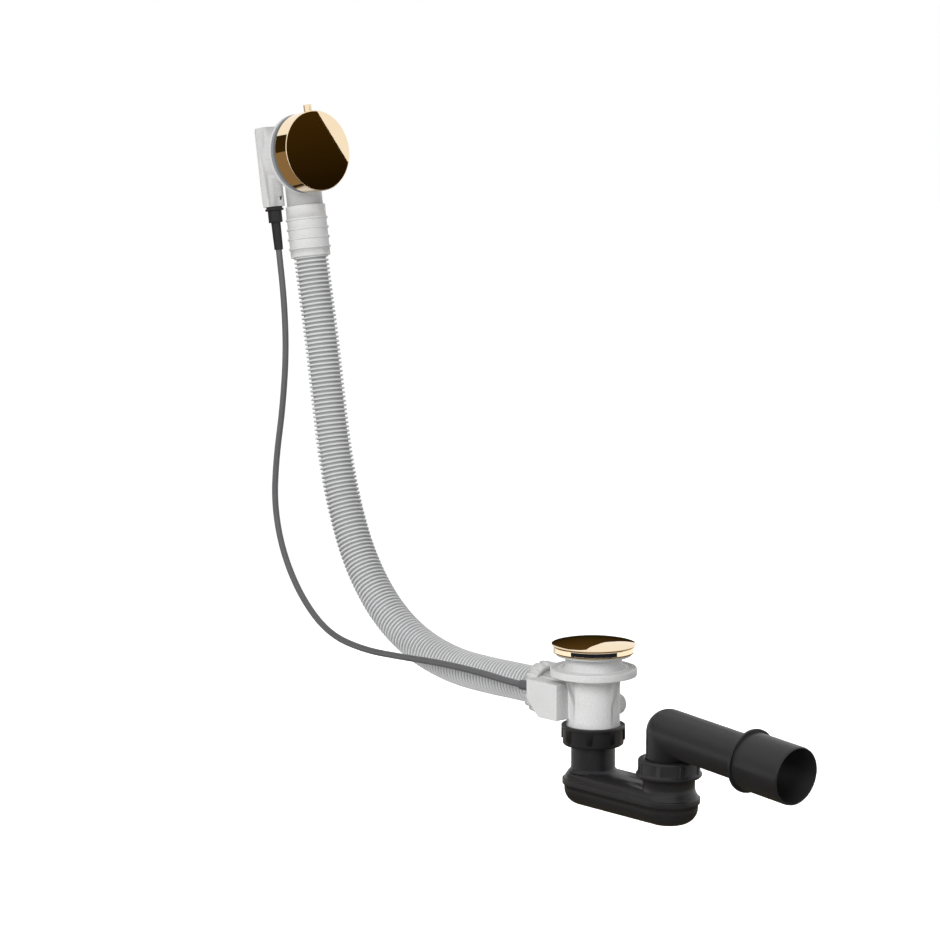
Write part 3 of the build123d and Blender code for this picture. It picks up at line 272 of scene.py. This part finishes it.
def moulded_white():
    """White polypropylene, injection moulded in a fine-eroded tool: satin, with a faint even grain and painted shade
    in its pits.
    """
    if "moulded white polypropylene" in bpy.data.materials:
        return bpy.data.materials["moulded white polypropylene"]
    made = bpy.data.materials.new("moulded white polypropylene")
    made.use_nodes = True
    tree = made.node_tree
    shader = tree.nodes["Principled BSDF"]
    shader.inputs["IOR"].default_value = 1.49
    place = add(tree, "ShaderNodeTexCoord")
    # Melt flow shows as a slow change of tone over about 3 cm
    drift = add(tree, "ShaderNodeTexNoise", {"Scale": 32.0, "Detail": 2.0}, {"Vector": place.outputs["Object"]})
    tone = add(tree, "ShaderNodeMix", {"A": linear("#E3E3E3"), "B": linear("#EDEDED")},
               {"Factor": drift.outputs["Fac"]}, data_type="RGBA")
    # Eroded grain, drawn at about 0.8 mm so that it shows. Painted shade: its speckles are coloured a little darker,
    # for the shade in the grain's pits
    grain = add(tree, "ShaderNodeTexNoise", {"Scale": 1250.0, "Detail": 4.0}, {"Vector": place.outputs["Object"]})
    painted_pit_shade = add(tree, "ShaderNodeMapRange", {"From Min": 0.50, "From Max": 0.72, "To Max": 0.65},
               {"Value": grain.outputs["Fac"]})
    pit_shaded_tone = add(tree, "ShaderNodeMix", {"B": linear("#BFBFBF")},
                   {"Factor": painted_pit_shade.outputs["Result"], "A": tone.outputs["Result"]}, data_type="RGBA")
    tree.links.new(pit_shaded_tone.outputs["Result"], shader.inputs["Base Color"])
    sheen = add(tree, "ShaderNodeMapRange", {"To Min": 0.36, "To Max": 0.48}, {"Value": grain.outputs["Fac"]})
    tree.links.new(sheen.outputs["Result"], shader.inputs["Roughness"])
    relief = add(tree, "ShaderNodeBump", {"Strength": 0.8, "Distance": 0.0004}, {"Height": grain.outputs["Fac"]})
    tree.links.new(relief.outputs["Normal"], shader.inputs["Normal"])
    return made


def refined(node, name, material, body="fittings", sharp=32):
    """A copy of a CAD node with its loose triangles joined, so that its curved faces shade smoothly."""
    shape = bmesh.new()
    shape.from_mesh(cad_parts[node].data)
    bmesh.ops.remove_doubles(shape, verts=shape.verts, dist=2e-6)
    piece = finished(name, shape, sharp)
    piece.data.materials.clear()
    piece.data.materials.append(material)
    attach(piece, body)
    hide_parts(node)
    return piece


refined("waste_body", "white_waste_body", moulded_white())
refined("lever_box", "side_housing", moulded_white())
refined("port_nut", "hose_union_nut", moulded_white())

# Overflow behind the bath
# One white moulding with the flange, the round chamber, the hose neck and the rack's upright housing.
# The gear cover is welded on from behind and the ribbed cuff is pushed over the neck.
refined("overflow_body", "white_overflow_body", moulded_white())
refined("gear_cover", "white_gear_cover", moulded_white())
refined("hose_cuff", "ribbed_cuff", moulded_white())

# Trap, nuts, elbow and sleeve
# Black polypropylene, injection moulded: two welded trap halves, two union nuts, the elbow with its
# pipe in one piece, and the sleeve on its end.


def moulded_black():
    """Black polypropylene, injection moulded in a matt tool: soft broad highlights and a fine grain."""
    if "moulded black polypropylene" in bpy.data.materials:
        return bpy.data.materials["moulded black polypropylene"]
    made = bpy.data.materials.new("moulded black polypropylene")
    made.use_nodes = True
    tree = made.node_tree
    shader = tree.nodes["Principled BSDF"]
    shader.inputs["IOR"].default_value = 1.49
    shader.inputs["Specular IOR Level"].default_value = 0.38
    place = add(tree, "ShaderNodeTexCoord")
    drift = add(tree, "ShaderNodeTexNoise", {"Scale": 30.0, "Detail": 3.0}, {"Vector": place.outputs["Object"]})
    tone = add(tree, "ShaderNodeMix", {"A": linear("#1D1D1F"), "B": linear("#262628")},
               {"Factor": drift.outputs["Fac"]}, data_type="RGBA")
    tree.links.new(tone.outputs["Result"], shader.inputs["Base Color"])
    # Matt tool grain, about 0.4 mm so that it shows close up
    grain = add(tree, "ShaderNodeTexNoise", {"Scale": 2500.0, "Detail": 4.0}, {"Vector": place.outputs["Object"]})
    sheen = add(tree, "ShaderNodeMapRange", {"To Min": 0.31, "To Max": 0.44}, {"Value": grain.outputs["Fac"]})
    tree.links.new(sheen.outputs["Result"], shader.inputs["Roughness"])
    relief = add(tree, "ShaderNodeBump", {"Strength": 0.20, "Distance": 0.0002}, {"Height": grain.outputs["Fac"]})
    tree.links.new(relief.outputs["Normal"], shader.inputs["Normal"])
    return made


for node, name in (("body_nut", "inlet_union_nut"), ("outlet_nut", "outlet_union_nut"),
                   ("trap_upper", "trap_top_half"), ("trap_lower", "trap_bottom_half"),
                   ("elbow_pipe", "elbow_and_pipe"), ("outlet_sleeve", "pipe_sleeve"),
                   ("cable_gland", "black_cable_gland"), ("gland_relief", "upper_cable_sleeve")):
    refined(node, name, moulded_black())

# Gold parts
# Brass, turned and pressed, then polished and plated in gold colour: cap, ring, knob and its pin.
# The shapes are lathed here as finely as a mirror needs, from the same sizes as the solids.
cap_arc = (36.6, 21.2, 4.5)
dome_steps = 24
ring_top = 19.4
knob_r = 38.0
head_at = Vector((-0.3974, 0, 0.4331))
head_side = Vector((0, 1, 0))
head_up = Vector((-0.16505, 0, 0.98629))
head_out = Vector((0.98629, 0, 0.16505))


def plated_gold():
    """Gold-coloured plating on polished brass: a clear mirror with only the faintest polishing haze."""
    if "polished gold plating" in bpy.data.materials:
        return bpy.data.materials["polished gold plating"]
    made = bpy.data.materials.new("polished gold plating")
    made.use_nodes = True
    tree = made.node_tree
    shader = tree.nodes["Principled BSDF"]
    shader.inputs["Metallic"].default_value = 1.0
    place = add(tree, "ShaderNodeTexCoord")
    drift = add(tree, "ShaderNodeTexNoise", {"Scale": 40.0, "Detail": 2.0}, {"Vector": place.outputs["Object"]})
    tone = add(tree, "ShaderNodeMix", {"A": linear("#F5DDB8"), "B": linear("#F9E5C6")},
               {"Factor": drift.outputs["Fac"]}, data_type="RGBA")
    tree.links.new(tone.outputs["Result"], shader.inputs["Base Color"])
    haze = add(tree, "ShaderNodeTexNoise", {"Scale": 1500.0, "Detail": 2.0}, {"Vector": place.outputs["Object"]})
    sheen = add(tree, "ShaderNodeMapRange", {"To Min": 0.003, "To Max": 0.009}, {"Value": haze.outputs["Fac"]})
    tree.links.new(sheen.outputs["Result"], shader.inputs["Roughness"])
    return made


def arc(centre_r, centre_z, radius, start, end, steps=6):
    """Points of a rounded edge in a lathe section, from one angle to another in degrees."""
    points = []
    for i in range(steps + 1):
        angle = radians(start + (end - start) * i / steps)
        points.append((centre_r + radius * cos(angle), centre_z + radius * sin(angle)))
    return points


def gilded(name, shape, node, body):
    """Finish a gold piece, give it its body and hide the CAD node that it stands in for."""
    piece = finished(name, shape, sharp=28)
    piece.data.materials.append(plated_gold())
    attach(piece, body)
    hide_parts(node)
    return piece


def at_head(shape):
    """Move a bmesh from the lathe's axis to the overflow's own place and tilt."""
    bmesh.ops.transform(shape, verts=shape.verts,
                        matrix=Matrix.Translation(head_at) @ Matrix((head_side, head_up, head_out)).transposed().to_4x4())
    return shape


cap_edge_r, cap_edge_z, cap_rise = cap_arc
dome_r = (cap_edge_r ** 2 + cap_rise ** 2) / (2 * cap_rise)
dome_z = cap_edge_z + cap_rise - dome_r
cap_section = []
for i in range(dome_steps + 1):
    across = cap_edge_r * i / dome_steps
    cap_section.append((across, dome_z + (dome_r ** 2 - across ** 2) ** 0.5))
cap_section += [(36.9, 21.08), (37.06, 20.9), (37.1, 20.65), (36.98, 20.35), (36.6, 20.05), (36.1, 19.88),
                (35.5, 19.8), (33.9, 19.8), (33.9, 20.3)]
for i in range(dome_steps, -1, -1):
    across = 33.9 * i / dome_steps
    cap_section.append((across, dome_z + ((dome_r - 1.6) ** 2 - across ** 2) ** 0.5))
gilded("gold_cap", spun(cap_section, 192, closed=False), "plug_cap", "plug_group")

# Each flat or straight stretch ends a little before its rounding, so that it mirrors as flat
knob_section = [(0, 18.0), (37.1, 18.0)] + arc(37.4, 17.4, 0.6, 90, 0) + [(knob_r, 17.1), (knob_r, 1.8)]
knob_section += arc(37.5, 1.5, 0.5, 0, -90)
knob_section += arc(36.3, 1.5, 0.5, -90, -180) + arc(34.3, 14.3, 1.5, 0, 90)
knob_section += [(8.0, 15.8), (8.0, 7.8), (4.1, 7.8), (4.1, 15.8), (0, 15.8)]
gilded("gold_knob", at_head(spun(knob_section, 192, closed=False)), "knob", "knob_group")

pin_section = [(0, -2.0), (2.9, -2.0), (2.9, 0.15), (3.9, 0.15)] + arc(3.3, 5.8, 0.6, 0, 90) + [(0, 6.4)]
pin_shape = spun(pin_section, 64, closed=False)
bmesh.ops.rotate(pin_shape, verts=pin_shape.verts, cent=(0, 0, 0), matrix=Matrix.Rotation(radians(-90), 3, "X"))
bmesh.ops.translate(pin_shape, verts=pin_shape.verts, vec=(0, knob_r * mm, 9.3 * mm))
gilded("gold_knob_pin", at_head(pin_shape), "knob_pin", "knob_group")

ring_section = [(22.5, 13.2), (33.4, 13.2)] + arc(34.2, 15.0, 1.8, -85, 0, 10) + [(36.0, 15.3), (36.0, ring_top - 0.8)]
ring_section += arc(35.4, ring_top - 0.6, 0.6, 0, 90)
ring_section += [(34.9, ring_top), (34.5, ring_top - 0.5), (34.3, 16.9), (33.9, 16.7), (23.2, 14.7), (22.2, 14.2),
                 (21.3, 13.3), (21.0, 12.4), (21.0, -7.0), (22.5, -7.0)]
ring_shape = spun(ring_section, 192)
hub_shape = spun([(4.9, -7.0), (8.0, -7.0), (8.0, -3.5), (4.9, -3.5)], 64)
hub_mesh = bpy.data.meshes.new("ring hub")
hub_shape.to_mesh(hub_mesh)
hub_shape.free()
ring_shape.from_mesh(hub_mesh)
bpy.data.meshes.remove(hub_mesh)
for i in range(4):
    turned = Matrix.Rotation(radians(45 + 90 * i), 4, "Z")
    spoke = Matrix.Translation((14.4 * mm, 0, -5.25 * mm)) @ Matrix.Diagonal((13.4 * mm, 3 * mm, 3.5 * mm, 1))
    bmesh.ops.create_cube(ring_shape, size=1.0, matrix=turned @ spoke)
gilded("gold_ring", ring_shape, "waste_ring", "fittings")

# Small parts inside and between the others
# Seals, screws, wire and acetal gears, mostly hidden once the waste is put together.


def plain_finish(name, low, high, roughness, metallic=0.0, scale=1800.0):
    """A small part's finish: two close tones mixed by a fine noise, with a light grain."""
    if name in bpy.data.materials:
        return bpy.data.materials[name]
    made = bpy.data.materials.new(name)
    made.use_nodes = True
    tree = made.node_tree
    shader = tree.nodes["Principled BSDF"]
    shader.inputs["Metallic"].default_value = metallic
    place = add(tree, "ShaderNodeTexCoord")
    grain = add(tree, "ShaderNodeTexNoise", {"Scale": scale, "Detail": 3.0}, {"Vector": place.outputs["Object"]})
    tone = add(tree, "ShaderNodeMix", {"A": linear(low), "B": linear(high)}, {"Factor": grain.outputs["Fac"]},
               data_type="RGBA")
    tree.links.new(tone.outputs["Result"], shader.inputs["Base Color"])
    sheen = add(tree, "ShaderNodeMapRange", {"To Min": roughness - 0.06, "To Max": roughness + 0.06},
                {"Value": grain.outputs["Fac"]})
    tree.links.new(sheen.outputs["Result"], shader.inputs["Roughness"])
    relief = add(tree, "ShaderNodeBump", {"Strength": 0.15, "Distance": 0.0002}, {"Height": grain.outputs["Fac"]})
    tree.links.new(relief.outputs["Normal"], shader.inputs["Normal"])
    return made


small_parts = {
    "moulded black rubber": (("#151515", "#1E1E1E", 0.7), ("plug_seal", "shaft_seal", "port_seal", "body_nut_seal",
                             "outlet_seal", "sleeve_seal", "spindle_seal")),
    "cloudy clear rubber": (("#D4D8D8", "#E2E5E4", 0.35), ("ring_gasket",)),
    "grey closed-cell foam": (("#8C9094", "#9EA2A6", 0.85), ("overflow_seal",)),
    "grey PVC sleeve": (("#55565A", "#606165", 0.5), ("box_relief",)),
    "natural acetal": (("#DAD9D2", "#E6E5DF", 0.4), ("seal_nut", "lift_finger", "lift_crank", "pinion", "rack",
                       "plug_body")),
}
for finish, ((low, high, roughness), nodes) in small_parts.items():
    for node in nodes:
        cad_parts[node].data.materials.clear()
        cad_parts[node].data.materials.append(plain_finish(finish, low, high, roughness))
for finish, low, high, roughness, nodes in (
        ("drawn stainless steel", "#A9A9AB", "#BDBDBF", 0.3, ("lift_shaft", "lower_wire", "upper_wire", "spindle",
                                                             "clamp_plate", "plate_screws")),
        ("turned brass", "#C9A25A", "#D9B56C", 0.25, ("plug_stem", "guide_screw"))):
    for node in nodes:
        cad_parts[node].data.materials.clear()
        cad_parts[node].data.materials.append(plain_finish(finish, low, high, roughness, metallic=1.0))

# Studio
# A pale floor well under the hanging waste, a white background, a large soft lamp in front and to the
# left, a weak one on the right and one behind. Glowing cards that only mirrors show stand round it as
# painted reflections.
floor_shape = bmesh.new()
bmesh.ops.create_grid(floor_shape, x_segments=1, y_segments=1, size=12.0)
bmesh.ops.translate(floor_shape, vec=(0, 0, -0.60), verts=floor_shape.verts)
floor = finished("floor", floor_shape)
floor_paint = bpy.data.materials.new("pale studio floor")
floor_paint.use_nodes = True
floor_shader = floor_paint.node_tree.nodes["Principled BSDF"]
floor_shader.inputs["Base Color"].default_value = linear("#F4F4F3")
floor_shader.inputs["Roughness"].default_value = 0.9
floor_shader.inputs["Emission Color"].default_value = (1, 1, 1, 1)
floor_sight = add(floor_paint.node_tree, "ShaderNodeLightPath")
floor_seen = add(floor_paint.node_tree, "ShaderNodeMath", None,
                 {0: floor_sight.outputs["Is Camera Ray"], 1: floor_sight.outputs["Is Glossy Ray"]},
                 operation="MAXIMUM")
floor_clear = add(floor_paint.node_tree, "ShaderNodeMath", None,
                  {0: floor_seen.outputs[0], 1: floor_sight.outputs["Is Transmission Ray"]}, operation="MAXIMUM")
floor_glow = add(floor_paint.node_tree, "ShaderNodeMath", {1: 0.75}, {0: floor_clear.outputs[0]},
                 operation="MULTIPLY")
floor_paint.node_tree.links.new(floor_glow.outputs[0], floor_shader.inputs["Emission Strength"])
floor.data.materials.append(floor_paint)

world = bpy.data.worlds.new("white studio")
bpy.context.scene.world = world
world.use_nodes = True
world.node_tree.nodes.clear()
sight = add(world.node_tree, "ShaderNodeLightPath")
seen = add(world.node_tree, "ShaderNodeMath", None,
           {0: sight.outputs["Is Camera Ray"], 1: sight.outputs["Is Glossy Ray"]}, operation="MAXIMUM")
clear = add(world.node_tree, "ShaderNodeMath", None,
            {0: seen.outputs[0], 1: sight.outputs["Is Transmission Ray"]}, operation="MAXIMUM")
backdrop = add(world.node_tree, "ShaderNodeBackground", {"Color": (1, 1, 1, 1), "Strength": 1.0})
ambient = add(world.node_tree, "ShaderNodeBackground", {"Color": (1, 1, 1, 1), "Strength": 0.28})
both = add(world.node_tree, "ShaderNodeMixShader", None,
           {0: clear.outputs[0], 1: ambient.outputs[0], 2: backdrop.outputs[0]})
add(world.node_tree, "ShaderNodeOutputWorld", None, {"Surface": both.outputs[0]})


def reflection_glow_card(name, corners, high, low, top=1.0, bottom=0.0):
    """A glowing studio card that only mirrors show, a painted reflection: one colour above a height, another below it,
    even between.
    """
    shape = bmesh.new()
    bmesh.ops.contextual_create(shape, geom=[shape.verts.new(corner) for corner in corners])
    card = finished(name, shape)
    painted_reflection = bpy.data.materials.new(name + " paint")
    painted_reflection.use_nodes = True
    tree = painted_reflection.node_tree
    tree.nodes.clear()
    place = add(tree, "ShaderNodeTexCoord")
    parted = add(tree, "ShaderNodeSeparateXYZ", None, {"Vector": place.outputs["Object"]})
    share = add(tree, "ShaderNodeMapRange", {"From Min": bottom, "From Max": top}, {"Value": parted.outputs["Z"]})
    tone = add(tree, "ShaderNodeMix", {"A": linear(low), "B": linear(high)}, {"Factor": share.outputs["Result"]},
               data_type="RGBA")
    # Painted reflection: the card glows in its own colours and is hidden from the camera, from lit surfaces and from
    # shadows
    glow = add(tree, "ShaderNodeEmission", None, {"Color": tone.outputs["Result"]})
    add(tree, "ShaderNodeOutputMaterial", None, {"Surface": glow.outputs["Emission"]})
    card.data.materials.append(painted_reflection)
    card.visible_camera = False
    card.visible_diffuse = False
    card.visible_shadow = False
    card.visible_transmission = False
    card.visible_volume_scatter = False
    return card


def reflection_glow_wall(name, centre, distance, start, end, low_z, high_z, high, low):
    """A curved glowing card, a painted reflection that only mirrors show, standing round a place from one compass
    angle to another.
    """
    steps = 8
    for i in range(steps):
        a, b = (radians(start + (end - start) * (i + k) / steps) for k in (0, 1))
        x, y = centre
        corners = [(x + distance * cos(a), y + distance * sin(a), low_z),
                   (x + distance * cos(b), y + distance * sin(b), low_z),
                   (x + distance * cos(b), y + distance * sin(b), high_z),
                   (x + distance * cos(a), y + distance * sin(a), high_z)]
        reflection_glow_card(f"{name} {i + 1}", corners, high, low, high_z, low_z)


# A brown glowing card close under the object, a painted reflection that every mirror that looks down shows
floor_card_shape = [(2.4 * cos(pi * i / 16), 2.4 * sin(pi * i / 16), -0.58) for i in range(32)]
reflection_glow_card("floor card", floor_card_shape, "#61543F", "#61543F")
# The glowing card that the knob's face shows as a painted reflection, brown above and nearly black below
knob_card_edge = (Vector((2.0012, 1.9972, 1.1685)), Vector((1.9948, 2.0396, 1.0646)))
knob_card_run = (knob_card_edge[1] - knob_card_edge[0]) * 4.5
knob_card_side = Vector((0.654, -0.685, -0.319)) * 0.9
knob_card_top, knob_card_foot = knob_card_edge[0] - knob_card_run, knob_card_edge[1] + knob_card_run
reflection_glow_card("knob card", [knob_card_top, knob_card_foot, knob_card_foot + knob_card_side,
                        knob_card_top + knob_card_side], "#402D0B", "#080601", 1.21, 0.98)
# The glowing card behind the bath that the cap's dome shows as a painted reflection, with its curved edge
cap_card_at = Vector((-2.1641, 2.0138, 0.5110))
cap_card_right = Vector((-0.6812, -0.7321, 0))
cap_card_up = Vector((0.1247, -0.1160, 0.9854))
cap_card_edge = [(0.10, 1.55), (0.031, 1.297), (-0.076, 0.997), (-0.164, 0.635), (-0.245, 0.409), (-0.304, 0.079),
                 (-0.38, -0.3), (-0.40, -1.0), (0.5, -1.0), (0.5, 1.55)]
reflection_glow_card("cap card", [cap_card_at + cap_card_right * h + cap_card_up * v for h, v in cap_card_edge],
          "#4E3A1B", "#201805", 1.8, 0.0)
# The low dark glowing wall in front, a painted reflection that the ring's side shows
reflection_glow_wall("front wall", (0, 0), 2.6, -110, 25, -0.58, -0.2, "#1E2434", "#1E2434")
# The glowing card that makes the dark bands on the knob's rim as a painted reflection, and the brown one below it
reflection_glow_wall("rim wall", (-0.4, 0), 2.8, -165, -130, 0.36, 1.68, "#30220A", "#36270C")
reflection_glow_wall("rim foot wall", (-0.4, 0), 2.8, -165, -130, 0.25, 0.36, "#8A7250", "#8A7250")
# A flat brown glowing card level with the rim's foot, a painted reflection in the knob's rim
reflection_glow_card("rim floor card", [(-3.5, -2.5, 0.25), (-0.45, -2.5, 0.25), (-0.45, 0.1, 0.25), (-3.5, 0.1, 0.25)],
          "#8A7250", "#8A7250")


def lamp(name, power, size, place, aim):
    """A square soft lamp that points at a place on the object, and that mirrors don't show."""
    data = bpy.data.lights.new(name, "AREA")
    data.energy = power
    data.size = size
    held = bpy.data.objects.new(name, data)
    bpy.context.scene.collection.objects.link(held)
    held.location = place
    held.rotation_mode = "QUATERNION"
    held.rotation_quaternion = (Vector(aim) - Vector(place)).to_track_quat("-Z", "Y")
    held.visible_glossy = False
    return held


lamp("key lamp", 55.0, 1.3, (0.9, -2.4, 1.5), (-0.15, 0, 0.1))
lamp("side lamp", 3.0, 1.2, (1.8, 0.9, 1.0), (-0.1, 0, 0.1))
lamp("back lamp", 34.0, 1.4, (-1.9, 2.3, 1.2), (-0.15, 0, 0.1))

bpy.context.scene.view_settings.view_transform = "Standard"
